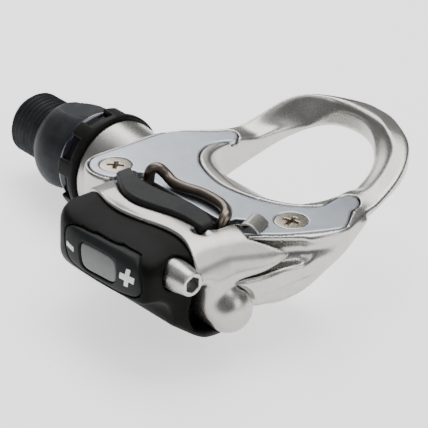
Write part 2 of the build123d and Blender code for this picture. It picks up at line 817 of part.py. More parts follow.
with BuildPart() as adjuster_cover:
    add(cover_form.part)
    with BuildSketch(Plane.YZ.offset(EARS[0][0] - 0.5)):
        with BuildLine():
            Spline(
                (-20.0, 11.1),
                (-29.4, 11.0),
                (CAVITY_BACK, 9.4),
                (CAVITY_BACK - 0.2, 4.4),
                (-33.0, 0.2),
                (-30.6, -2.6),
                hub_point(HUB_BORE, 240),
                tangents=((-1, 0), (0.87, -0.5)),
            )
            ThreePointArc(hub_point(HUB_BORE, 240), hub_point(HUB_BORE, 270), hub_point(HUB_BORE, 300))
            Polyline(hub_point(HUB_BORE, 300), (-10.0, PIVOT_Z), (-10.0, 11.1), (-20.0, 11.1))
        make_face()
    extrude(amount=EARS[1][1] + 0.3 - EARS[0][0] + 0.5, mode=Mode.SUBTRACT)
    with BuildSketch(pivot_plane(36.0)):
        Circle(BOSS_R + SEAM)
    extrude(amount=45.0, mode=Mode.SUBTRACT)
    with BuildSketch(Plane.YZ.offset(ARM_START - SEAM)):
        Polygon((-23.8, 1.0), (-23.8, -2.0), (-10.0, -2.0), (-10.0, 1.0), align=None)
    extrude(amount=10.0, mode=Mode.SUBTRACT)
    with BuildSketch(Plane.XZ.offset(-PLATE_BACK)):
        add(indicator_outline.sketch)
    extrude(amount=5.0, mode=Mode.SUBTRACT)
    with BuildSketch(Plane.XZ.offset(-CAVITY_BACK - 1.0)):
        add(lens_outline.sketch)
    extrude(amount=5.0, mode=Mode.SUBTRACT)
    with BuildSketch(Plane.YZ.offset(EARS[1][1])):
        with Locations((SCREW_Y, SCREW_Z)):
            Circle(SCREW_HEAD_R + SEAM)
    extrude(amount=10.0, mode=Mode.SUBTRACT)

adjuster_cover.part.label = "adjuster_cover"
export_step(adjuster_cover.part, "parts/adjuster_cover.step")

with BuildPart() as indicator_plate:
    add(cover_form.part)
    with BuildSketch(Plane.XZ.offset(-PLATE_BACK)):
        add(indicator_outline.sketch)
    extrude(amount=5.0, mode=Mode.INTERSECT)
    with BuildSketch(Plane.XZ.offset(-PLATE_BACK)):
        add(lens_outline.sketch)
    extrude(amount=5.0, mode=Mode.SUBTRACT)

indicator_plate.part.label = "indicator_plate"
export_step(indicator_plate.part, "parts/indicator_plate.step")

with BuildPart() as indicator_window:
    with BuildSketch(Plane.XZ.offset(-PLATE_BACK)):
        add(lens_outline.sketch)
    extrude(amount=1.3)

indicator_window.part.label = "indicator_window"
export_step(indicator_window.part, "parts/indicator_window.step")


def screw_plane(x):
    """A plane across the tension screw, with its origin on the screw's axis."""
    return Plane(origin=(x, SCREW_Y, SCREW_Z), x_dir=(0, 1, 0), z_dir=(1, 0, 0))


SCREW_START = EARS[0][0] - 0.4
WASHER_T = 0.6
HEAD_START = EARS[1][1] + WASHER_T
HEAD_END = SCREW_HEAD_AT + SCREW_HEAD_LENGTH
RETAINER_T = 0.5
RETAINER_START = EARS[1][0] - RETAINER_T - 0.05
RETAINER_IN = SCREW_R - 0.35
with BuildPart() as tension_screw:
    with BuildSketch(screw_plane(SCREW_START)):
        Circle(SCREW_R)
    extrude(amount=HEAD_START - SCREW_START)
    with BuildSketch(screw_plane(HEAD_START)):
        Circle(SCREW_HEAD_R)
    extrude(amount=SCREW_HEAD_AT - HEAD_START)
    with BuildSketch(screw_plane(SCREW_HEAD_AT)):
        Circle(SCREW_HEAD_R)
    with BuildSketch(screw_plane(HEAD_END)):
        Circle(SCREW_HEAD_TIP_R)
    loft()
    with BuildSketch(screw_plane(HEAD_END)):
        RegularPolygon(SCREW_KEY / 2, 6, major_radius=False)
    extrude(amount=-3.0, mode=Mode.SUBTRACT)

    with BuildSketch(screw_plane(RETAINER_START)):
        Circle(SCREW_R)
        Circle(RETAINER_IN, mode=Mode.SUBTRACT)
    extrude(amount=RETAINER_T, mode=Mode.SUBTRACT)

tension_screw.part.label = "tension_screw"
export_step(tension_screw.part, "parts/tension_screw.step")

with BuildPart() as screw_washer:
    with BuildSketch(screw_plane(EARS[1][1])):
        Circle(SCREW_HEAD_R - 0.2)
        Circle(SCREW_R + RUN_FIT, mode=Mode.SUBTRACT)
    extrude(amount=WASHER_T - 0.05)

screw_washer.part.label = "screw_washer"
export_step(screw_washer.part, "parts/screw_washer.step")

with BuildPart() as screw_retainer:
    with BuildSketch(screw_plane(RETAINER_START)):
        Circle(SCREW_R + 0.9)
        Circle(RETAINER_IN, mode=Mode.SUBTRACT)
        with Locations((0, -SCREW_R)):
            Rectangle(1.8, 2 * SCREW_R, mode=Mode.SUBTRACT)
    extrude(amount=RETAINER_T)

screw_retainer.part.label = "screw_retainer"
export_step(screw_retainer.part, "parts/screw_retainer.step")

with BuildPart() as tension_nut:
    with BuildSketch(screw_plane(NUT_AT)):
        with Locations((0, -0.3)):
            Rectangle(6.6, 5.6)
    extrude(amount=NUT_LENGTH)
    with BuildSketch(screw_plane(FLAG_AT)):
        with Locations((-3.9, -0.9)):
            Rectangle(1.6, 4.4)
    extrude(amount=2.0)
    with BuildSketch(screw_plane(NUT_AT)):
        Circle(SCREW_R + RUN_FIT)
    extrude(amount=NUT_LENGTH, mode=Mode.SUBTRACT)

tension_nut.part.label = "tension_nut"
export_step(tension_nut.part, "parts/tension_nut.step")

# --- Double torsion spring ------------------------------------------------------------------------
COIL_STARTS = (LUG[0] - 7.7, LUG[1] + 7.7)  # the outer end of each coil
COIL_LENGTH = COIL_TURNS * COIL_PITCH
COIL_FRONT_Y = PIVOT_Y + COIL_R
COIL_REAR_Y = PIVOT_Y - COIL_R
BRIDGE_Z = DECK_Z + WIRE_R + 0.1
LEG_TOP_Z = 6.0
coil_ways = list(zip(COIL_STARTS, (1, -1)))
coils = [
    Plane(origin=(start, PIVOT_Y, PIVOT_Z), x_dir=(0, 1, 0), z_dir=(along, 0, 0))
    * Helix(COIL_PITCH, COIL_LENGTH, COIL_R, lefthand=along > 0)
    for start, along in coil_ways
]
with BuildPart() as jaw_spring:
    # Bridge that bears on the plate, from one coil up, across and down to the other.
    with BuildLine() as bridge:
        FilletPolyline(
            (COIL_STARTS[0], COIL_FRONT_Y, PIVOT_Z),
            (COIL_STARTS[0], -13.3, 15.4),
            (48.6, -10.4, BRIDGE_Z),
            (63.4, -9.6, BRIDGE_Z),
            (COIL_STARTS[1], -13.6, BRIDGE_Z),
            (COIL_STARTS[1], COIL_FRONT_Y, PIVOT_Z),
            radius=1.5,
        )
    with BuildSketch(Plane(origin=bridge.line @ 0, z_dir=bridge.line % 0)):
        Circle(WIRE_R)
    sweep(path=bridge.line)
    for (start, along), coil in zip(coil_ways, coils):
        with BuildSketch(Plane(origin=coil @ 0, z_dir=coil % 0)):
            Circle(WIRE_R)
        sweep(path=coil, is_frenet=True)
        end = start + along * COIL_LENGTH
        with BuildLine() as leg:
            Line((end, COIL_REAR_Y, PIVOT_Z), (end, COIL_REAR_Y - 0.65, LEG_TOP_Z))
        with BuildSketch(Plane(origin=leg.line @ 0, z_dir=leg.line % 0)):
            Circle(WIRE_R)
        sweep(path=leg.line)
        with Locations((start, COIL_FRONT_Y, PIVOT_Z), (end, COIL_REAR_Y, PIVOT_Z)):
            Sphere(WIRE_R)

jaw_spring.part.label = "jaw_spring"
export_step(jaw_spring.part, "parts/jaw_spring.step")
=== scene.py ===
import bpy
import json
import math
import numpy as np
from mathutils import Matrix, Vector


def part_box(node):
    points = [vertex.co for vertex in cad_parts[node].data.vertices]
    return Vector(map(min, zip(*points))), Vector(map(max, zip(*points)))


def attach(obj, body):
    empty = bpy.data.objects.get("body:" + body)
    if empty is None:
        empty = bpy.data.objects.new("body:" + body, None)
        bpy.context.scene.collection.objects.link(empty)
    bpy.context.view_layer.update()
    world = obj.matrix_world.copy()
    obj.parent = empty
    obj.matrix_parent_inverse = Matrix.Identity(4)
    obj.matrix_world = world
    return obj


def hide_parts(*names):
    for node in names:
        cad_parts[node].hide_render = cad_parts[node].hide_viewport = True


# A clipless pedal's looks. Lengths are in millimetres until a mesh is made. The row frame is the CAD's:
# +X outboard along the spindle, +Y to the toe loop, +Z up to the shoe.

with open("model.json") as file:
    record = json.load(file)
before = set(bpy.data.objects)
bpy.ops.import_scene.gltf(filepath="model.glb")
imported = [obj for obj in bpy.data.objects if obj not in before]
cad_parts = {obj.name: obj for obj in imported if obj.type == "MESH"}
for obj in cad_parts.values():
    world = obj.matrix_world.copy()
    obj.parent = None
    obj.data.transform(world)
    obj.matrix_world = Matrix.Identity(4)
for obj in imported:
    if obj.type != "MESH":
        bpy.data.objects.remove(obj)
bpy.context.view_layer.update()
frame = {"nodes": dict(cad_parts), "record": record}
MM = 0.001

DECK_Z = 11.4
PIVOT_Y, PIVOT_Z = -18.8, -0.9
SCREW_Y, SCREW_Z = -28.6, 7.9
PLATE_SCREWS = ((34.4, -13.1), (74.0, -0.8))

# The casting: its two ends, the barrel round the spindle, and what is bored into it.
INBOARD_X, OUTBOARD_X = 18.4, 83.25
COLLAR_RADIUS, BARREL_RADIUS = 11.07, 10.0
NOSE_X, NOSE_LENGTH = 65.5, 10.8
LOOP_RISE = 5.6
BORE_RADIUS, BORE_END_X = 8.0, 69.5
RING_SEAT_RADIUS, RING_SEAT_END_X = 9.35, 24.1
HINGE_BORE_RADIUS = 3.02
POCKET_Z, SLOT_Z, SCREW_HOLE_Z = 10.15, 6.6, 3.6

# The plate and its screws.
PLATE_LOW_Z, PLATE_GAP = 10.2, 0.28
SEAT_RADIUS, HEAD_RADIUS, SHANK_RADIUS, SCREW_HOLE_RADIUS = 3.42, 3.36, 1.48, 1.55
SINK_LIP, SINK_SLOPE = 0.35, 1.3

# The jaw.
BOSS_RADIUS, BOSS_END_X = 4.8, 80.9
HINGE_PIN_ROOM, SCREW_ROOM = 2.27, 2.06
CAP_ROOM, CAP_START_X = 3.4, 70.9
SEAM_GAP = 0.06
COVER_WALL, INSERT_BACK_Y = 1.15, -31.0
NUT_TRAVEL = 5.6

# The spring.
WIRE_RADIUS, COIL_RADIUS, COIL_TURNS, COIL_PITCH = 1.17, 4.6, 2.5, 2.5
LEFT_COIL_X, RIGHT_COIL_X = 44.9, 65.6


# --- Distance fields: each takes broadcast arrays and is negative inside ---------------------------
def join(a, b, k):
    """The union of two fields, with a fillet of about k."""
    h = np.clip(0.5 + 0.5 * (b - a) / k, 0, 1)
    return b + (a - b) * h - k * h * (1 - h)


def meet(a, b, k):
    """The overlap of two fields, with edges rounded by about k."""
    return -join(-a, -b, k)


def cut(a, b, k):
    """Field a without field b."""
    return meet(a, -b, k)


def ramp(v, low, high):
    """0 below low, 1 above high and smooth between."""
    t = np.clip((v - low) / (high - low), 0, 1)
    return t * t * (3 - 2 * t)


def smooth(points, closed=False, steps=8):
    """Points along a Catmull-Rom curve through the given ones."""
    p = np.array(points, float)
    if closed:
        p = np.vstack([p[-1], p, p[0], p[1]])
    else:
        p = np.vstack([2 * p[0] - p[1], p, 2 * p[-1] - p[-2]])
    t = np.arange(steps)[:, None] / steps
    rows = []
    for a, b, c, d in zip(p, p[1:], p[2:], p[3:]):
        square, cube = 2 * a - 5 * b + 4 * c - d, 3 * b - a - 3 * c + d
        rows.append(0.5 * (2 * b + (c - a) * t + square * t**2 + cube * t**3))
    if not closed:
        rows.append(p[-2:-1])
    return np.vstack(rows)


def arc(cu, cv, r, start, end, count=9):
    """Points on an arc, by angles in degrees."""
    a = np.radians(np.linspace(start, end, count))
    return np.stack([cu + r * np.cos(a), cv + r * np.sin(a)], 1)


def area(poly, u, v):
    """Signed distance to a closed outline."""
    u, v = np.broadcast_arrays(u, v)
    pu, pv = u.ravel(), v.ravel()
    best = np.full(pu.shape, 1e9)
    inside = np.zeros(pu.shape, bool)
    for (au, av), (bu, bv) in zip(poly, np.roll(poly, -1, 0)):
        eu, ev = bu - au, bv - av
        length = eu * eu + ev * ev
        if length < 1e-12:
            continue
        t = np.clip(((pu - au) * eu + (pv - av) * ev) / length, 0, 1)
        best = np.minimum(best, (pu - au - t * eu) ** 2 + (pv - av - t * ev) ** 2)
        if ev:
            crossed = ((av > pv) != (bv > pv)) & (pu < au + (pv - av) * eu / ev)
            inside ^= crossed
    d = np.sqrt(best)
    return np.where(inside, -d, d).reshape(u.shape)


def strip(poly, u, v):
    """Distance to an open line of points."""
    best = 1e9
    for (au, av), (bu, bv) in zip(poly, poly[1:]):
        eu, ev = bu - au, bv - av
        t = np.clip(((u - au) * eu + (v - av) * ev) / (eu * eu + ev * ev), 0, 1)
        best = np.minimum(best, np.hypot(u - au - t * eu, v - av - t * ev))
    return best


def slab(v, low, high):
    """The space between two planes."""
    return np.maximum(low - v, v - high)


def capsule(x, y, z, a, b, r):
    """A rod with round ends from a to b."""
    a, b = np.array(a, float), np.array(b, float)
    e = b - a
    t = np.clip(((x - a[0]) * e[0] + (y - a[1]) * e[1] + (z - a[2]) * e[2]) / (e @ e), 0, 1)
    return np.sqrt((x - a[0] - t * e[0]) ** 2 + (y - a[1] - t * e[1]) ** 2 + (z - a[2] - t * e[2]) ** 2) - r


def rod(v, w, cv, cw, r):
    """An endless rod, across the plane of v and w."""
    return np.hypot(v - cv, w - cw) - r


def pivot_rod(y, z, r):
    """An endless rod on the jaw's hinge line."""
    return rod(y, z, PIVOT_Y, PIVOT_Z, r)


def screw_rod(y, z, r):
    """An endless rod on the tension screw's line."""
    return rod(y, z, SCREW_Y, SCREW_Z, r)


# --- Meshes --------------------------------------------------------------------------------------
STRAY = 0.55  # how far a vertex may be from its neighbours' mean, in grid steps


def skin(field, low, high, step):
    """Vertices and quads of a field's surface, by surface nets on a grid.

    The vertices are drawn onto the surface, and one that strays from its neighbours goes to their mean.
    """
    axes = [np.arange(a - step, b + 2 * step, step) for a, b in zip(low, high)]
    shape = tuple(len(a) for a in axes)
    d = np.ascontiguousarray(np.broadcast_to(field(*np.ix_(*axes)), shape))
    s = d < 0
    n = [k - 1 for k in shape]
    corners = [(i, j, k) for i in (0, 1) for j in (0, 1) for k in (0, 1)]
    count = sum(s[i : n[0] + i, j : n[1] + j, k : n[2] + k].astype(np.int8) for i, j, k in corners)
    live = (count > 0) & (count < 8)
    cell = np.stack(np.nonzero(live), 1)
    index = np.full(live.shape, -1)
    index[live] = np.arange(len(cell))
    total, hits = np.zeros((len(cell), 3)), np.zeros((len(cell), 1))
    for a in corners:
        for axis in range(3):
            if a[axis]:
                continue
            b = list(a)
            b[axis] = 1
            da, db = d[tuple((cell + a).T)], d[tuple((cell + b).T)]
            crossed = (da < 0) != (db < 0)
            t = np.where(crossed, da / np.where(crossed, da - db, 1), 0)[:, None]
            total += np.where(crossed[:, None], np.array(a) + t * (np.array(b) - a), 0)
            hits += crossed[:, None]
    v = np.array([a[0] for a in axes]) + (cell + total / hits) * step
    faces = []
    for axis in range(3):
        p, q = (axis + 1) % 3, (axis + 2) % 3
        first, second = [slice(1, -1)] * 3, [slice(1, -1)] * 3
        first[axis], second[axis] = slice(0, -1), slice(1, None)
        a, b = s[tuple(first)], s[tuple(second)]
        for sign, mask in ((1, a & ~b), (-1, ~a & b)):
            at = np.stack(np.nonzero(mask), 1)
            at[:, p] += 1
            at[:, q] += 1
            ring = []
            for dp, dq in ((1, 1), (0, 1), (0, 0), (1, 0))[::-sign]:
                c = at.copy()
                c[:, p] -= dp
                c[:, q] -= dq
                ring.append(index[tuple(c.T)])
            faces.append(np.stack(ring, 1))
    h = 0.3 * step
    for _ in range(2):
        slope = np.stack([field(*(v + h * e).T) - field(*(v - h * e).T) for e in np.eye(3)], 1) / (2 * h)
        size = np.maximum((slope**2).sum(1), 0.3)
        v = v - np.clip(field(*v.T) / size, -0.4 * step, 0.4 * step)[:, None] * slope
    faces = np.vstack(faces)
    near, shared = np.zeros_like(v), np.zeros((len(v), 1))
    for a, b in zip(faces.T, np.roll(faces, 1, 1).T):
        for one, other in ((a, b), (b, a)):
            np.add.at(near, one, v[other])
            np.add.at(shared, one, 1)
    near /= shared
    stray = np.linalg.norm(v - near, axis=1) > STRAY * step
    v[stray] = near[stray]
    return v, faces


def tube(points, r, sides=20):
    """Vertices and faces of a round wire along a line of points, with flat ends."""
    p = np.array(points, float)
    ahead = np.gradient(p, axis=0)
    ahead /= np.linalg.norm(ahead, axis=1)[:, None]
    side = np.cross(ahead[0], (0.3, 0.2, 0.9))
    rings = []
    a = np.linspace(0, 2 * np.pi, sides, endpoint=False)[:, None]
    for centre, t in zip(p, ahead):
        side = side - (side @ t) * t
        side /= np.linalg.norm(side)
        rings.append(centre + r * (np.cos(a) * side + np.sin(a) * np.cross(t, side)))
    v = np.vstack([*rings, p[:1], p[-1:]])
    faces = []
    for i in range(len(p) - 1):
        for j in range(sides):
            k = (j + 1) % sides
            faces.append((i * sides + j, i * sides + k, (i + 1) * sides + k, (i + 1) * sides + j))
    last = (len(p) - 1) * sides
    for j in range(sides):
        k = (j + 1) % sides
        faces.append((len(v) - 2, k, j))
        faces.append((len(v) - 1, last + j, last + k))
    return v, faces


def lathe(profile, sides=96, radius=None):
    """Vertices and quads of a closed profile of (x, r) turned about X. radius changes r by x, r and angle."""
    a = np.linspace(0, 2 * np.pi, sides, endpoint=False)
    p = np.array(profile, float)
    x = np.repeat(p[:, :1], sides, 1)
    r = np.repeat(p[:, 1:], sides, 1)
    if radius:
        r = radius(x, r, a[None, :])
    v = np.stack([x, r * np.cos(a), r * np.sin(a)], 2).reshape(-1, 3)
    faces = []
    n = len(p)
    for i in range(n):
        for j in range(sides):
            k, m = (j + 1) % sides, (i + 1) % n
            faces.append((i * sides + j, m * sides + j, m * sides + k, i * sides + k))
    return v, faces


# --- Materials -----------------------------------------------------------------------------------
def finish(
    slot, colour, rough, metallic=1, grain=3.0, depth=0.01, spread=0.1, mottle=0.15, waves=0.0, **sockets
):
    """A procedural finish: mottled colour, uneven roughness and a fine bump, grain times per millimetre."""
    m = bpy.data.materials.new(slot)
    m.use_nodes = True
    nodes, links = m.node_tree.nodes, m.node_tree.links
    shader = nodes["Principled BSDF"]
    place = nodes.new("ShaderNodeTexCoord")

    def noise(scale, detail):
        n = nodes.new("ShaderNodeTexNoise")
        n.inputs["Scale"].default_value = scale / MM
        n.inputs["Detail"].default_value = detail
        n.inputs["Roughness"].default_value = 0.55
        links.new(place.outputs["Object"], n.inputs["Vector"])
        return n.outputs["Fac"]

    def span(source, low, high, from_low=0.3, from_high=0.7):
        n = nodes.new("ShaderNodeMapRange")
        n.inputs["From Min"].default_value = from_low
        n.inputs["From Max"].default_value = from_high
        n.inputs["To Min"].default_value = low
        n.inputs["To Max"].default_value = high
        links.new(source, n.inputs["Value"])
        return n.outputs["Result"]

    def add(first, second):
        n = nodes.new("ShaderNodeMath")
        n.operation = "ADD"
        links.new(first, n.inputs[0])
        links.new(second, n.inputs[1])
        return n.outputs["Value"]

    fine, patch, cloud = noise(grain, 6), noise(grain * 0.12, 4), noise(0.06, 3)
    blend = nodes.new("ShaderNodeMix")
    blend.data_type = "RGBA"
    links.new(span(patch, 0, 1), blend.inputs["Factor"])
    blend.inputs["A"].default_value = [c * (1 - mottle) for c in colour] + [1]
    blend.inputs["B"].default_value = [min(1, c * (1 + 0.5 * mottle)) for c in colour] + [1]
    links.new(blend.outputs["Result"], shader.inputs["Base Color"])
    uneven = add(span(fine, rough - spread / 2, rough + spread / 2), span(cloud, -spread / 2, spread / 2))
    links.new(uneven, shader.inputs["Roughness"])
    height = span(fine, 0, depth)
    if waves:
        height = add(height, span(noise(0.22, 2), 0, waves, 0, 1))
    bump = nodes.new("ShaderNodeBump")
    bump.inputs["Distance"].default_value = MM
    bump.inputs["Strength"].default_value = 1.0
    links.new(height, bump.inputs["Height"])
    links.new(bump.outputs["Normal"], shader.inputs["Normal"])
    shader.inputs["Metallic"].default_value = metallic
    for name, value in sockets.items():
        shader.inputs[name.replace("_", " ")].default_value = value
    return m


FORGING = dict(rough=0.29, grain=2.4, depth=0.0015, spread=0.06, mottle=0.07, waves=0.03)
SPECS = {
    "polished_aluminium": dict(FORGING, colour=(0.49, 0.482, 0.455)),
    "forged_aluminium": dict(FORGING, colour=(0.455, 0.446, 0.415)),
    "plate_steel": dict(colour=(0.50, 0.535, 0.585), rough=0.40, grain=3.2, depth=0.004, mottle=0.08),
    "screw_nickel": dict(colour=(0.50, 0.45, 0.37), rough=0.28, grain=4.0, spread=0.12, mottle=0.18),
    "clip_steel": dict(colour=(0.50, 0.49, 0.45), rough=0.32, depth=0.002, spread=0.08, mottle=0.10),
    "pin_steel": dict(colour=(0.5, 0.5, 0.51), rough=0.3, grain=5.0),
    "bush_plastic": dict(colour=(0.05, 0.05, 0.05), metallic=0, rough=0.5, grain=4.0, depth=0.02),
    "lip_steel": dict(
        colour=(0.018, 0.0185, 0.019), metallic=0.2, rough=0.5, grain=3.4, depth=0.006, spread=0.12,
        mottle=0.2, Specular_IOR_Level=0.2,
    ),
    "cover_plastic": dict(
        colour=(0.005, 0.005, 0.0045), metallic=0, rough=0.45, grain=3.6, depth=0.004, spread=0.08,
        mottle=0.2, Specular_IOR_Level=0.06,
    ),
    "label_plastic": dict(
        colour=(0.017, 0.018, 0.0185), metallic=0, rough=0.42, depth=0.002, spread=0.08,
        Specular_IOR_Level=0.08,
    ),
    "window_plastic": dict(
        colour=(0.085, 0.088, 0.088), metallic=0, rough=0.25, grain=2.0, depth=0.002, spread=0.06,
        mottle=0.25, Coat_Weight=0.15,
    ),
    "screw_steel": dict(
        colour=(0.50, 0.495, 0.475), rough=0.34, grain=4.4, depth=0.012, spread=0.14, mottle=0.12,
    ),
    "nut_steel": dict(colour=(0.66, 0.56, 0.26), rough=0.35, grain=4.0),
    "spring_titanium": dict(
        colour=(0.185, 0.155, 0.13), rough=0.33, grain=2.8, depth=0.002, spread=0.08, mottle=0.12,
    ),
    "spindle_steel": dict(
        colour=(0.028, 0.030, 0.033), metallic=0.3, rough=0.44, grain=3.2, depth=0.004, spread=0.12,
        mottle=0.3, Specular_IOR_Level=0.15,
    ),
    "bearing_steel": dict(colour=(0.6, 0.6, 0.61), rough=0.15, grain=5.0, depth=0.004),
    "zinc_steel": dict(colour=(0.58, 0.58, 0.56), rough=0.35, grain=4.0),
    "cage_plastic": dict(colour=(0.6, 0.5, 0.32), metallic=0, rough=0.5),
    "sleeve_aluminium": dict(colour=(0.7, 0.7, 0.7), rough=0.35, grain=4.0),
    "ring_plastic": dict(
        colour=(0.009, 0.009, 0.0085), metallic=0, rough=0.42, grain=3.2, depth=0.006, mottle=0.3,
        Specular_IOR_Level=0.08,
    ),
    "seal_rubber": dict(
        colour=(0.006, 0.008, 0.020), metallic=0, rough=0.18, grain=2.6, depth=0.005, spread=0.08,
        mottle=0.3, Coat_Weight=0.2,
    ),
}
FINISHES = {slot: finish(slot, **spec) for slot, spec in SPECS.items()}
WHITE_MARK = finish(
    "white_mark", (0.8, 0.8, 0.79), metallic=0, rough=0.45, grain=4.0, depth=0.008, mottle=0.06
)

SLOT_OF = {s["node"]: s["material_slot"] for s in frame["record"]["subparts"]}
for node, obj in frame["nodes"].items():
    obj.data.materials.clear()
    obj.data.materials.append(FINISHES[SLOT_OF[node]])

BODY_OF = {n: b for b, group in frame["record"]["behaviour"]["bodies"].items() for n in group}


def merge(shapes):
    """Several shapes as one."""
    starts = np.cumsum([0] + [len(v) for v, _ in shapes])
    return np.vstack([v for v, _ in shapes]), np.vstack([f + at for (_, f), at in zip(shapes, starts)])


def piece(name, shape, node, material=None, stands_for=True):
    """A mesh piece that rides with a CAD node's body, in that node's finish unless told otherwise."""
    v, faces = shape
    mesh = bpy.data.meshes.new(name)
    mesh.from_pydata((np.asarray(v) * MM).tolist(), [], [list(map(int, f)) for f in faces])
    mesh.validate()
    mesh.polygons.foreach_set("use_smooth", np.ones(len(mesh.polygons), bool))
    mesh.update()
    obj = bpy.data.objects.new(name, mesh)
    bpy.context.scene.collection.objects.link(obj)
    mesh.materials.append(material or FINISHES[SLOT_OF[node]])
    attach(obj, BODY_OF[node])
    if stands_for:
        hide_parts(node)


# --- Casting ---------------------------------------------------------------------------------------
# In plan (x, y): the toe loop's outer edge with the pad round the inboard plate screw, the toe loop's
# hole, and the slot in the plate's rear edge.
PAD = PLATE_SCREWS[0]
LOOP_EDGE = (
    (27.9, 3.4), (30.1, 8.6), (34.6, 15.5), (36.2, 23.0), (39.0, 30.2), (43.8, 36.5), (50.4, 40.5),
    (55.5, 41.15), (61.5, 39.9), (70.9, 34.4), (76.6, 27.2), (79.6, 18.1), (80.4, 12.6), (82.9, 7.0),
    (83.3, 3.6), (81.4, -1.4), (79.0, -5.2), (74.0, -11.8),
)
DECK = np.vstack([arc(*PAD, 6.5, -52, -180, 14), smooth(LOOP_EDGE), [(74.0, -11.8), (38.4, -11.8)]])
HOLE = smooth((
    (56.5, 0.5), (64.4, 2.2), (69.9, 6.2), (71.6, 12.0), (70.2, 20.0), (66.2, 28.6), (60.4, 34.5),
    (53.4, 36.4), (46.6, 34.6), (42.4, 28.0), (40.9, 18.0), (41.0, 9.0), (45.4, 3.6),
), True)
SLOT = np.array([(66.4, -13.0), (70.5, -13.0), (70.9, -9.4), (69.2, -6.9), (66.8, -9.0)])

# The plate's outline in plan. Its front edge has two hooks, with the hole's edge between them.
PLATE_SIDE = (
    (29.0, 3.0), (29.8, 6.7), (34.2, 11.9), (36.2, 15.3), (38.1, 16.2), (39.9, 15.0), (40.3, 13.2),
    (39.1, 10.6), (38.9, 7.7), (40.2, 4.6), (42.6, 2.1), (45.6, 0.3), (50.7, -1.4), (55.9, -1.9),
    (62.3, -0.7), (67.4, 1.7), (71.6, 5.2), (73.3, 8.3), (72.8, 12.1), (73.1, 14.9), (74.6, 16.0),
    (76.4, 15.3), (77.6, 13.6), (78.2, 11.6), (80.0, 9.2), (81.6, 7.0), (82.1, 4.9), (80.8, 1.3),
    (77.6, -5.1), (74.4, -9.4), (72.8, -11.6),
)
PLATE = np.vstack([arc(*PAD, 5.4, -42, -180, 12), smooth(PLATE_SIDE), [(72.8, -11.8), (38.4, -11.8)]])

# From the side (y, z): the outboard flank, the inner lug for the hinge, and the deck's underside.
FLANK = smooth((
    (-18.4, -2.0), (-12.0, 0.2), (-4.0, 2.4), (4.0, 6.0), (12.0, 8.8), (12.0, 10.4), (-2.6, 10.2),
    (-4.4, 7.6), (-11.0, 5.2), (-18.4, 4.2),
), True, 5)
LUG = np.array([(PIVOT_Y, 3.4), (-8.5, 4.5), (-8.5, -2.6), (PIVOT_Y, -5.2)])
OUTER_UNDER = np.polyfit((-15, -4, 4, 8, 16, 24, 33, 41), (-0.5, 2.5, 5.6, 7.3, 9.8, 11.4, 12.2, 12.6), 4)


def barrel(x, y, z):
    """The tube round the spindle, with its rounded outboard nose."""
    r = np.hypot(y, z)
    side = r - np.interp(x, (18, 28.2), (COLLAR_RADIUS, BARREL_RADIUS))
    nose = np.hypot(r / BARREL_RADIUS, (x - NOSE_X) / NOSE_LENGTH) * BARREL_RADIUS - BARREL_RADIUS
    return meet(np.where(x > NOSE_X, nose, side), INBOARD_X - x, 0.5)


def outer_face(y, z):
    """X of the outboard side of the flank and the jaw's arm."""
    crown = np.interp(y, (-26, -18.6, -12, -5, 2, 6, 14), (77.2, 77.5, 79.4, 81.4, 82.6, 82.6, 81.5))
    return crown - 0.01 * (z - 5) ** 2


def deck_top(x, y, across):
    """Z of the deck and the loop's upper side. across is 0 at the outer edge and 1 at the hole's."""
    out = ramp(x, 50, 68)
    rise = (1 - out) * ramp(y, 18.5, 33.5) + out * ramp(y, 13, 37)
    ridge = DECK_Z + LOOP_RISE * rise - 0.05 * np.maximum(y - 35, 0)
    ledge = 10.4 + 0.09 * np.maximum(y - 20, 0) + 4.6 * ramp(y, 31, 38)
    fall = ramp(across, 0.12 + 0.32 * ramp(y, 30, 37) + 0.24 * out, 1.0) * ramp(y, 14.5, 21)
    return ridge + (np.minimum(ledge, ridge) - ridge) * fall


def deck_underside(y, across):
    """Z of the deck and the loop's lower side, which is higher along the outer edge."""
    inner = np.maximum(3.2 + (y - 13.4) * 0.335, -4.6)
    outer = np.maximum(np.polyval(OUTER_UNDER, y), inner)
    return inner + (outer - inner) * (1 - across) * ramp(y, -6, 6)


def plate_pocket(x, y, z):
    """The recess under the plate, the slot at its rear edge and the plate screws' holes."""
    pocket = np.maximum(area(PLATE, x, y) - PLATE_GAP, POCKET_Z - z)
    pocket = np.minimum(pocket, np.maximum(area(SLOT, x, y), SLOT_Z - z))
    for cx, cy in PLATE_SCREWS:
        pocket = np.minimum(pocket, np.maximum(rod(x, y, cx, cy, SCREW_HOLE_RADIUS), SCREW_HOLE_Z - z))
    return pocket


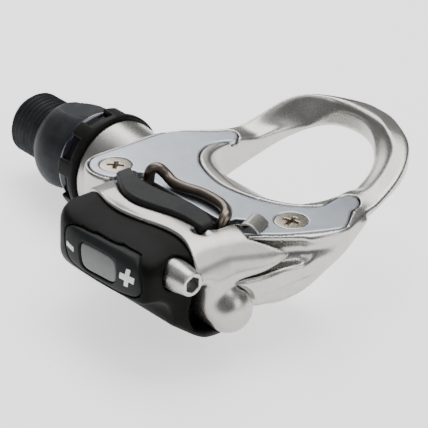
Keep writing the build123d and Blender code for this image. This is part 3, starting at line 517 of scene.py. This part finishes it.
def casting(x, y, z):
    """The forged body: deck and toe loop, barrel, outboard flank with its scoop, and inner lug."""
    deck, hole = area(DECK, x, y), area(HOLE, x, y)
    across = np.clip(-deck / np.maximum(hole - deck, 0.5), 0, 1)
    d = meet(deck, -hole, 0.6)
    d = meet(meet(d, z - deck_top(x, y, across), 1.0), deck_underside(y, across) - z, 1.4)
    d = join(d, barrel(x, y, z), 2.2)
    flank = meet(meet(area(FLANK, y, z), x - outer_face(y, z), 1.2), 71.2 - x, 1.0)
    flank = cut(flank, pivot_rod(y, z, 5.2), 0.2)
    d = join(d, flank, 1.6)
    d = cut(d, capsule(x, y, z, (75.6, -12.6, 8.2), (80.8, -4.4, 8.2), 2.1), 1.5)
    d = cut(d, capsule(x, y, z, (80.8, -4.4, 8.2), (84.2, 1.6, 9.0), 1.1), 1.6)
    lug = np.minimum(area(LUG, y, z), pivot_rod(y, z, 4.4))
    d = join(d, meet(lug, slab(x, 52.7, 57.8), 0.5), 0.8)
    d = cut(d, plate_pocket(x, y, z), 0.15)
    d = cut(d, pivot_rod(y, z, HINGE_BORE_RADIUS), 0.1)
    bore = np.maximum(rod(y, z, 0, 0, BORE_RADIUS), x - BORE_END_X)
    bore = np.minimum(bore, np.maximum(rod(y, z, 0, 0, RING_SEAT_RADIUS), x - RING_SEAT_END_X))
    return np.maximum(cut(d, bore, 0.2), x - OUTBOARD_X)


piece("casting", skin(casting, (18.2, -23.4, -11.2), (83.6, 41.4, 17.2), step=0.36), "pedal_body")


# --- Plate and its screws ----------------------------------------------------------------------------
def countersink(x, y, z, cx, cy, r):
    """A screw head's cone, which narrows below a short lip."""
    return rod(x, y, cx, cy, r) + np.maximum(DECK_Z - SINK_LIP - z, 0) * SINK_SLOPE


def screw_recess(x, y, z, cx, cy, turn):
    """A cross recess whose arms narrow as they go down."""
    c, s = math.cos(turn), math.sin(turn)
    u, v = (x - cx) * c + (y - cy) * s, (y - cy) * c - (x - cx) * s
    deep = (DECK_Z - z) * 0.28

    def arm(along, across):
        return np.maximum(abs(along) - 1.75 + deep, abs(across) - 0.42 + 0.5 * deep)

    wing = np.minimum(arm(u, v), arm(v, u))
    return np.maximum(join(wing, rod(x, y, cx, cy, 0.55), 0.3), DECK_Z - 1.4 - z)


def plate(x, y, z):
    """The steel plate on the deck, with its slot, its small hole and the screws' seats."""
    d = meet(area(PLATE, x, y), slab(z, PLATE_LOW_Z, DECK_Z), 0.3)
    d = cut(d, area(SLOT, x, y), 0.25)
    d = cut(d, rod(x, y, 41.0, -12.2, 1.3), 0.2)
    for cx, cy in PLATE_SCREWS:
        d = cut(d, countersink(x, y, z, cx, cy, SEAT_RADIUS), 0.15)
    return d


def screws(x, y, z):
    """Both plate screws, each turned its own way."""
    d = 1e3
    for (cx, cy), turn in zip(PLATE_SCREWS, (0.75, 0.35)):
        head = np.maximum(countersink(x, y, z, cx, cy, HEAD_RADIUS), 10.0 - z)
        one = join(head, np.maximum(rod(x, y, cx, cy, SHANK_RADIUS), 4.2 - z), 0.2)
        one = meet(one, z - DECK_Z + 0.03 + 0.012 * ((x - cx) ** 2 + (y - cy) ** 2), 0.2)
        d = np.minimum(d, cut(one, screw_recess(x, y, z, cx, cy, turn), 0.12))
    return d


piece("cleat_plate", skin(plate, (28.6, -18.8, 10.1), (82.6, 16.6, 11.5), step=0.22), "top_plate")
heads = [
    skin(screws, (cx - 3.6, cy - 3.6, 4.0), (cx + 3.6, cy + 3.6, 11.6), step=0.14)
    for cx, cy in PLATE_SCREWS
]
piece("plate_screw_pair", merge(heads), "plate_screws")


# --- Jaw -----------------------------------------------------------------------------------------
# Y along x, in plan: the seam between lever and cover, and the lip's rear and front edges.
SEAM = np.polyfit(
    (40, 42.5, 47.5, 52.9, 57.2, 62.6, 66.2, 71.4, 77.4),
    (-23.6, -24.2, -26.0, -26.3, -25.3, -24.0, -24.0, -24.8, -26.2),
    5,
)
LIP_BACK = np.polyfit(
    (40, 42.7, 48.8, 53.7, 59.4, 63.6, 68.5, 71.5),
    (-17.8, -19.3, -22.0, -22.3, -20.4, -19.5, -19.3, -19.0),
    5,
)
LIP_FRONT = np.polyfit(
    (40, 42.5, 47.5, 51.3, 55.6, 62.6, 68),
    (-14.6, -15.6, -17.2, -17.0, -16.1, -15.4, -16.4),
    4,
)

# The lever from the side (y, z): its outboard arm, the band across the jaw and the inboard cheek.
ARM = smooth((
    (-18.0, 4.2), (-12.0, 5.5), (-8.0, 6.7), (-5.0, 7.9), (-6.4, 9.6), (-11.4, 12.6), (-18.0, 13.5),
    (-23.4, 13.0), (-25.6, 11.0), (-24.2, 5.0), (-23.2, -1.5), (-18.8, -1.5),
), True, 5)
BAND = smooth((
    (-30.0, 6.6), (-30.0, 13.0), (-24.6, 12.9), (-21.0, 13.5), (-17.4, 12.6), (-16.9, 9.6),
    (-20.0, 6.8), (-25.0, 6.2),
), True, 5)
CHEEK = np.array([(-23.4, -1.5), (-24.4, 7.5), (-16.9, 10.0), (-14.4, 0.5)])

# The cover from the side (y, z), from the rear (x, z) and in plan (x, y), then the insert and its lens
# from the rear.
HUB = arc(PIVOT_Y, PIVOT_Z, 7.9, 232, 280, 7)
COVER_BACK = smooth((
    (-24.7, 12.5), (-29.6, 12.2), (-34.4, 10.8), (-36.4, 8.0), (-36.9, 5.0), (-36.5, 3.0), (-35.0, 1.4),
    (-31.0, -2.0), (-27.3, -4.8), HUB[0],
))
SIDE = np.vstack([COVER_BACK, HUB, [(PIVOT_Y, PIVOT_Z), (-17.0, PIVOT_Z), (-17.0, 12.5)]])
FRONT = smooth((
    (44.5, 12.7), (55.0, 12.7), (65.6, 12.7), (70.6, 12.1), (75.2, 10.2), (77.6, 7.6), (78.0, 2.0),
    (76.9, -4.2), (73.4, -8.2), (66.0, -9.2), (57.0, -8.4), (49.6, -6.0), (43.0, -4.8), (39.0, -2.2),
    (38.1, 2.0), (38.4, 8.0), (40.6, 11.4),
), True)
PLAN = np.vstack([[(78.6, -10.0), (38.0, -10.0)], smooth((
    (38.0, -24.0), (39.8, -30.4), (44.6, -35.0), (52.0, -36.9), (61.0, -36.9), (68.6, -36.9), (71.4, -35.8),
    (72.3, -33.0), (72.3, -28.6), (74.0, -25.8), (77.2, -22.6), (78.6, -10.0),
))])
INSERT = smooth((
    (46.8, 7.3), (47.4, 10.0), (53.3, 10.6), (58.8, 10.8), (63.8, 11.0), (67.0, 10.9), (69.5, 9.3),
    (70.5, 7.2), (70.5, 5.6), (69.3, 4.4), (66.2, 3.6), (62.7, 3.0), (55.5, 2.8), (51.4, 2.9),
    (48.6, 3.7),
), True)
LENS = smooth((
    (52.3, 5.8), (51.9, 8.2), (53.2, 8.9), (58.0, 9.2), (61.6, 9.1), (63.0, 8.0), (63.3, 5.6),
    (62.2, 4.2), (58.0, 3.8), (54.6, 3.6), (53.0, 4.2),
), True, 5)


def cover_form(x, y, z):
    """The cover's outside, as a filled form."""
    return meet(meet(area(SIDE, y, z), area(FRONT, x, z), 2.0), area(PLAN, x, y), 2.2)


def above_hinge(z, field):
    """The field above the hinge line, and no limit below it."""
    return np.where(z > PIVOT_Z, field, -9.0)


def ears(x, y, z):
    """The lever's two tabs inside the cover, which the tension screw runs through."""
    d = np.minimum(slab(x, 40.05, 42.95), slab(x, 67.15, 69.5))
    d = np.maximum(d, np.maximum(slab(y, -30.9, -22), slab(z, 5.1, 10.0)))
    return np.maximum(d, cover_form(x, y, z) + 1.3)


def lever(x, y, z):
    """The jaw's metal frame: outboard arm with its hinge boss, band, inboard cheek and ears."""
    lip_back = np.polyval(LIP_BACK, x)
    slope = np.interp(x, (36, 40, 44, 50), (9.6, 11.6, 12.7, 13.4))
    sheet = (z - 13.4 + 0.7 * (x - 70.6) - 0.1 * (y + 18.1)) / 1.22
    side = join(area(BAND, y, z), meet(area(ARM, y, z), 69.5 - x, 1.4), 1.4)
    d = meet(meet(side, 38.2 - x, 1.2), z - slope, 1.2)
    d = meet(meet(d, sheet, 2.0), x - outer_face(y, z) - 0.5, 2.5)
    shelf = meet(meet(lip_back - 0.15 - y, 11.65 - z, 0.3), x - 68.7, 0.8)
    d = cut(d, shelf, 0.6)
    boss = pivot_rod(y, z, BOSS_RADIUS)
    boss = meet(boss, x - BOSS_END_X + 0.085 * (boss + BOSS_RADIUS) ** 2, 2.2)
    d = join(d, np.maximum(boss, 67.2 - x), 1.6)
    cheek = np.maximum(area(CHEEK, y, z), slab(x, 39.9, 43.2))
    cheek = join(cheek, meet(pivot_rod(y, z, 4.7), slab(x, 39.9, 43.1), 0.4), 0.5)
    d = join(d, cheek, 0.8)
    d = meet(d, above_hinge(z, np.polyval(SEAM, x) + SEAM_GAP - y), 0.5)
    d = np.minimum(d, ears(x, y, z))
    d = cut(d, np.maximum(area(DECK, x, y) - 0.35, 4.0 - z), 0.5)
    d = cut(d, np.maximum(pivot_rod(y, z, HINGE_PIN_ROOM), slab(x, 30, 76.1)), 0.1)
    d = cut(d, screw_rod(y, z, SCREW_ROOM), 0.1)
    return cut(d, capsule(x, y, z, (68.2, -20.0, 12.9), (70.6, -19.0, 14.2), 1.0), 0.6)


def lip(x, y, z):
    """The dark bar that holds the cleat, with a skirt at its outboard end."""
    front, back = np.polyval(LIP_FRONT, x), np.polyval(LIP_BACK, x)
    lean = (z - 11.7) * 0.35
    d = meet(back + 0.05 - y, y - front - lean, 0.6)
    top = 14.15 - 0.06 * np.maximum(x - 60, 0) - 0.12 * np.maximum(44 - x, 0)
    d = meet(d, slab(z, 11.72, top), 0.7)
    skirt = meet(slab(x, 64.4, 68.2), meet(slab(y, -18.9, -16.2), slab(z, 9.0, 13.2), 0.4), 0.4)
    return join(meet(d, slab(x, 40.2, 68.4), 0.7), np.maximum(skirt, -16.85 - y), 0.5)


NUT_LOW, NUT_HIGH = (np.array(corner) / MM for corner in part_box("tension_nut"))


def nut_room(x, y, z):
    """The space that the tension nut needs, from one end of its slide to the other."""
    along = slab(x, NUT_LOW[0] - 0.3, NUT_HIGH[0] + NUT_TRAVEL + 0.3)
    back_to_front = slab(y, NUT_LOW[1] - 0.2, NUT_HIGH[1] + 0.2)
    return np.maximum(along, np.maximum(back_to_front, slab(z, NUT_LOW[2] - 0.2, NUT_HIGH[2] + 0.2)))


def cover(x, y, z):
    """The plastic shell over the back of the jaw, cut clear of everything that it holds."""
    form = cover_form(x, y, z)
    form = cut(form, capsule(x, y, z, (58.0, -35.8, -4.6), (71.0, -33.8, -2.0), 4.9), 1.6)
    d = cut(form, np.maximum(form + COVER_WALL, x - 69.8), 0.2)
    d = meet(d, above_hinge(z, y - (np.polyval(SEAM, x) - SEAM_GAP)), 0.5)
    inset = np.maximum(area(INSERT, x, z) - 0.22, y - INSERT_BACK_Y)
    d = cut(d, np.maximum(inset, -1.0 - form), 0.25)
    d = cut(d, np.maximum(area(LENS, x, z) - 0.3, y - INSERT_BACK_Y), 0.1)
    d = cut(d, np.maximum(screw_rod(y, z, CAP_ROOM), CAP_START_X - x), 0.35)
    d = cut(d, screw_rod(y, z, 2.3), 0.1)
    d = cut(d, np.maximum(pivot_rod(y, z, 7.2), np.maximum(71.6 - x, -4.6 - z)), 0.8)
    d = cut(d, nut_room(x, y, z), 0.1)
    d = cut(d, pivot_rod(y, z, 4.95), 0.15)
    return cut(d, lever(x, y, z) - 0.12, 0.1)


def insert(x, y, z):
    """The plate let into the cover, with a window for the lens."""
    form = cover_form(x, y, z)
    d = meet(meet(area(INSERT, x, z), form - 0.04, 0.35), y - INSERT_BACK_Y, 0.3)
    d = cut(d, form + 0.9, 0.1)
    d = cut(d, nut_room(x, y, z), 0.1)
    return cut(d, area(LENS, x, z), 0.35)


def lens(x, y, z):
    """The tension indicator's lens."""
    form = cover_form(x, y, z)
    d = meet(meet(area(LENS, x, z) + 0.1, form + 0.22, 0.35), y + 32.0, 0.1)
    return cut(d, form + 1.0, 0.1)


def mark(bars):
    """A field of raised bars on the cover's face. Each bar is (x, z, half width, half height, tilt)."""

    def field(x, y, z):
        form = cover_form(x, y, z)
        d = 1e3
        for cx, cz, half_x, half_z, tilt in bars:
            u, w = x - cx, z - cz - tilt * (x - cx)
            d = np.minimum(d, np.maximum(abs(u) - half_x, abs(w) - half_z))
        return np.maximum(np.maximum(d, form - 0.09), np.maximum(-0.3 - form, y + 33.0))

    return field


MINUS = mark([(48.9, 6.4, 1.35, 0.5, -0.12)])
PLUS = mark([(66.7, 7.3, 2.15, 0.62, 0.1), (66.7, 7.3, 0.62, 1.75, 0.1)])


def adjuster(x, y, z):
    """The tension screw: a tapered head with a hexagon socket, a shaft and the groove for its circlip."""
    r = screw_rod(y, z, 0)
    head = meet(r - np.interp(x, (70.2, 73.0, 77.2), (3.15, 3.15, 2.45)), slab(x, 70.2, 77.2), 0.35)
    u, w = abs(y - SCREW_Y), abs(z - SCREW_Z)
    key = np.maximum(np.maximum(u, 0.5 * u + 0.866 * w) - 1.5, 73.0 - x)
    head = cut(head, key, 0.12)
    shaft = np.maximum(r - 1.95, slab(x, 39.7, 70.4))
    neck = np.maximum(r - 1.66, slab(x, 66.4, 67.1))
    return np.minimum(np.minimum(head, np.maximum(shaft, -slab(x, 66.42, 67.0))), neck)


CLIP_X, CLIP_Y, CLIP_TURN = 70, -9.4, 0.42
CLIP = smooth(((70.0, 7.6), (70.0, 11.2), (70.5, 12.7), (71.9, 13.0), (73.2, 12.4), (73.8, 11.75)), steps=4)


def clip(x, y, z):
    """A strip of sheet bent over the plate's rear edge, turned about its own corner."""
    u = (x - CLIP_X) * math.cos(CLIP_TURN) + (y - CLIP_Y) * math.sin(CLIP_TURN) + CLIP_X
    w = (y - CLIP_Y) * math.cos(CLIP_TURN) - (x - CLIP_X) * math.sin(CLIP_TURN)
    return meet(strip(CLIP, u, z) - 0.27, abs(w) - 2.5, 0.2)


piece("jaw_lever", skin(lever, (38.0, -31.2, -5.9), (82.6, -4.2, 13.9), step=0.28), "rear_lever")
piece("lip_bar", skin(lip, (40.0, -22.8, 8.8), (68.8, -13.6, 14.4), step=0.2), "jaw_lip")
piece("jaw_cover", skin(cover, (37.6, -37.1, -9.4), (78.2, -14.6, 12.7), step=0.26), "adjuster_cover")
piece("insert_plate", skin(insert, (43.8, -37.2, 1.0), (73.2, -30.8, 11.6), step=0.2), "indicator_plate")
piece("insert_lens", skin(lens, (51.4, -37.2, 3.2), (63.8, -31.8, 9.6), step=0.16), "indicator_window")
minus_shape = skin(MINUS, (47.2, -37.3, 5.4), (50.6, -34.0, 7.4), step=0.12)
piece("minus_mark", minus_shape, "indicator_plate", WHITE_MARK, False)
plus_shape = skin(PLUS, (64.2, -37.3, 5.2), (69.2, -34.0, 9.4), step=0.12)
piece("plus_mark", plus_shape, "indicator_plate", WHITE_MARK, False)
screw_low = (39.6, SCREW_Y - 3.2, SCREW_Z - 3.2)
screw_high = (77.3, SCREW_Y + 3.2, SCREW_Z + 3.2)
piece("adjuster_screw", skin(adjuster, screw_low, screw_high, step=0.17), "tension_screw")
piece("folded_clip", skin(clip, (67.4, -13.4, 7.2), (75.8, -4.6, 13.4), step=0.14), "edge_clip")


# --- Spring --------------------------------------------------------------------------------------
def coil(start, along):
    """A coil round the hinge line, which winds outwards or inwards with the sign of along."""
    a = np.linspace(0, 2 * np.pi * COIL_TURNS, 90)
    x = start + along * COIL_PITCH * a / (2 * np.pi)
    return np.stack([x, PIVOT_Y + COIL_RADIUS * np.cos(a), PIVOT_Z - COIL_RADIUS * np.sin(a)], 1)


left, right = coil(LEFT_COIL_X, 1), coil(RIGHT_COIL_X, -1)
legs = [np.array([(c[-1][0], c[-1][1] - 0.2, 1.4), (c[-1][0], c[-1][1] - 0.45, 3.6)]) for c in (left, right)]
bridge = smooth((
    (44.9, -14.2, -0.9), (45.0, -13.6, 6.0), (45.0, -13.1, 12.2), (45.1, -12.7, 14.3), (46.0, -11.6, 14.9),
    (47.4, -10.6, 13.6), (49.2, -10.5, 12.75), (52.2, -10.3, 12.65), (56.6, -8.9, 12.65),
    (61.4, -8.75, 12.65), (64.6, -9.6, 12.65), (66.4, -11.2, 12.6), (66.9, -12.7, 11.4), (66.8, -13.4, 9.0),
    (66.0, -14.0, 3.0), (65.6, -14.2, -0.9),
), steps=10)
for _ in range(12):
    bridge[1:-1] = (bridge[:-2] + 2 * bridge[1:-1] + bridge[2:]) / 4
wire = np.vstack([legs[0][::-1], left[::-1], bridge[1:-1], right, legs[1]])
piece("spring_wire", tube(wire, WIRE_RADIUS), "jaw_spring")

# --- Spindle, ring and seal ----------------------------------------------------------------------
# The spindle's profile is (x, r): the inboard end and thread, the collar and its crowned shoulder, the
# journals inside the body, then the bore back to the hexagon socket.
PITCH, THREAD_DEPTH = 1.27, 0.62
FLAT_DISTANCE, SOCKET_APOTHEM = 8.35, 4.0
thread_x = np.arange(-9.9, -0.35, 0.09)
shoulder_x = np.linspace(0.6, 9.7, 26)
profile = [(-11.0, 4.7), (-11.0, 5.7), (-10.85, 5.98), (-9.95, 6.95)]
profile += [(x, 7.1) for x in thread_x]
profile += [(-0.3, 6.5), (0.0, 6.6), (0.05, 8.1), (0.25, 8.45)]
profile += [(x, 10.3 - 0.062 * (x - 5.2) ** 2 - 0.0012 * (x - 5.2) ** 4) for x in shoulder_x]
profile += [(10.0, 8.8), (10.0, 7.45), (23.0, 7.45), (23.0, 6.0), (38.0, 6.0), (41.0, 5.2), (55.9, 5.2)]
profile += [(55.95, 4.0), (66.2, 4.0), (66.2, 3.4), (68.9, 3.4)]
profile += [(68.9, 0.4), (-4.2, 0.4), (-4.2, 4.0), (-10.4, 4.05)]


def spindle_radius(x, r, a):
    """The radius with the thread's groove, the two spanner flats and the hexagon socket."""
    phase = (x / PITCH + a / (2 * np.pi)) % 1
    groove = THREAD_DEPTH * np.clip(1.25 - 2.6 * abs(phase - 0.5), 0, 1)
    threaded = (x > -10.9) & (x < -0.34) & (r > 5.9)
    r = np.where(threaded, np.minimum(r, 7.12 - groove * ramp(x, -11.4, -9.8)), r)
    flat = FLAT_DISTANCE / np.maximum(abs(np.cos(a - math.radians(77))), 0.05)
    r = np.where((x > 0.02) & (x < 9.99) & (r > 7.6), np.minimum(r, flat), r)
    hexagon = SOCKET_APOTHEM / np.cos((a + math.pi / 6) % (math.pi / 3) - math.pi / 6)
    return np.where((x < -4.0) & (r < 4.2) & (r > 1), hexagon, r)


piece("axle", lathe(profile, 160, spindle_radius), "spindle")

seal_profile = [(10.35, 7.55), (10.35, 8.7), (10.7, 9.4), (11.4, 10.15), (12.2, 10.45), (12.85, 10.5)]
seal_profile += [(12.85, 8.65), (16.9, 8.55), (16.9, 7.55)]
piece("seal", lathe(seal_profile, 128), "lip_seal")

RING_RADIUS, RING_SLEEVE_RADIUS, RING_NOTCHES = 11.85, 9.25, 8


def ring(x, y, z):
    """The lock ring: a notched rim, a sleeve that screws into the body, and the bore."""
    r, a = np.hypot(y, z), np.arctan2(z, y)
    d = meet(r - RING_RADIUS, slab(x, 12.9, 18.28), 0.6)
    d = np.minimum(d, np.maximum(r - RING_SLEEVE_RADIUS, slab(x, 18.2, 24.0)))
    each = 2 * np.pi / RING_NOTCHES
    u = (a - math.radians(12) + each / 2) % each - each / 2
    notch = np.maximum(np.maximum(abs(r * np.sin(u)) - 2.7, 9.95 - r * np.cos(u)), x - 16.4)
    d = cut(d, notch, 0.5)
    return cut(d, r - np.where(x < 18.3, 8.62, 7.95), 0.2)


piece("castellated_ring", skin(ring, (12.8, -12.0, -12.0), (24.1, 12.0, 12.0), step=0.28), "lock_ring")

# --- Stage, light and camera ---------------------------------------------------------------------
FLOOR_Z = -12.05
TARGET = Vector((0.0551, -0.00426, 0.00588))

bpy.ops.mesh.primitive_grid_add(x_subdivisions=4, y_subdivisions=4, size=6)
floor = bpy.context.object
floor.name = "floor"
floor.location = (0.05, 0, FLOOR_Z * MM)
pale = dict(metallic=0, rough=0.6, grain=0.5, depth=0.004, spread=0.05, mottle=0.01, Emission_Strength=1.1)
floor.data.materials.append(finish("pale_floor", (0.93, 0.93, 0.93), **pale))

world = bpy.data.worlds.new("studio")
bpy.context.scene.world = world
world.use_nodes = True
sky = world.node_tree.nodes
back = sky["Background"]
where = sky.new("ShaderNodeTexCoord")
split = sky.new("ShaderNodeSeparateXYZ")
tone = sky.new("ShaderNodeValToRGB")
world.node_tree.links.new(where.outputs["Generated"], split.inputs["Vector"])
world.node_tree.links.new(split.outputs["Z"], tone.inputs["Fac"])
world.node_tree.links.new(tone.outputs["Color"], back.inputs["Color"])
stops = tone.color_ramp.elements
stops[0].color = (0.45, 0.45, 0.45, 1)
stops[1].color = (0.85, 0.86, 0.88, 1)
stops.new(0.56).color = (0.24, 0.24, 0.245, 1)
back.inputs["Strength"].default_value = 0.6


def towards(azimuth, elevation):
    """The direction from the pedal, with the azimuth from -Y towards +X, in degrees."""
    a, e = math.radians(azimuth), math.radians(elevation)
    return Vector((math.sin(a) * math.cos(e), -math.cos(a) * math.cos(e), math.sin(e)))


def softbox(name, azimuth, elevation, distance, width, height, watts):
    """An area light that looks at the pedal."""
    light = bpy.data.lights.new(name, "AREA")
    light.shape = "RECTANGLE"
    light.size, light.size_y, light.energy = width, height, watts
    obj = bpy.data.objects.new(name, light)
    obj.location = TARGET + distance * towards(azimuth, elevation)
    obj.rotation_euler = (TARGET - obj.location).to_track_quat("-Z", "Y").to_euler()
    bpy.context.scene.collection.objects.link(obj)


softbox("top", azimuth=200, elevation=72, distance=0.55, width=0.50, height=0.40, watts=2.6)
softbox("back_left", azimuth=250, elevation=35, distance=0.6, width=0.35, height=0.35, watts=1.3)
softbox("right", azimuth=110, elevation=25, distance=0.6, width=0.25, height=0.45, watts=0.9)
softbox("front", azimuth=20, elevation=50, distance=0.7, width=0.4, height=0.25, watts=0.5)

VIEW_AZIMUTH, VIEW_ELEVATION, VIEW_ROLL, VIEW_DISTANCE = 48.25, 28.05, 2.16, 0.4812
camera_data = bpy.data.cameras.new("camera")
camera = bpy.data.objects.new("camera", camera_data)
bpy.context.scene.collection.objects.link(camera)
azimuth, roll = math.radians(VIEW_AZIMUTH), math.radians(VIEW_ROLL)
ahead = towards(VIEW_AZIMUTH, VIEW_ELEVATION)
level = Vector((math.cos(azimuth), math.sin(azimuth), 0))
upright = ahead.cross(level)
right_axis = math.cos(roll) * level + math.sin(roll) * upright
up_axis = math.cos(roll) * upright - math.sin(roll) * level
turned = Matrix((right_axis, up_axis, ahead)).transposed().to_4x4()
camera.matrix_world = Matrix.Translation(TARGET + VIEW_DISTANCE * ahead) @ turned
camera_data.sensor_width = 36
camera_data.lens = 200.95
camera_data.clip_start = 0.01
bpy.context.scene.camera = camera
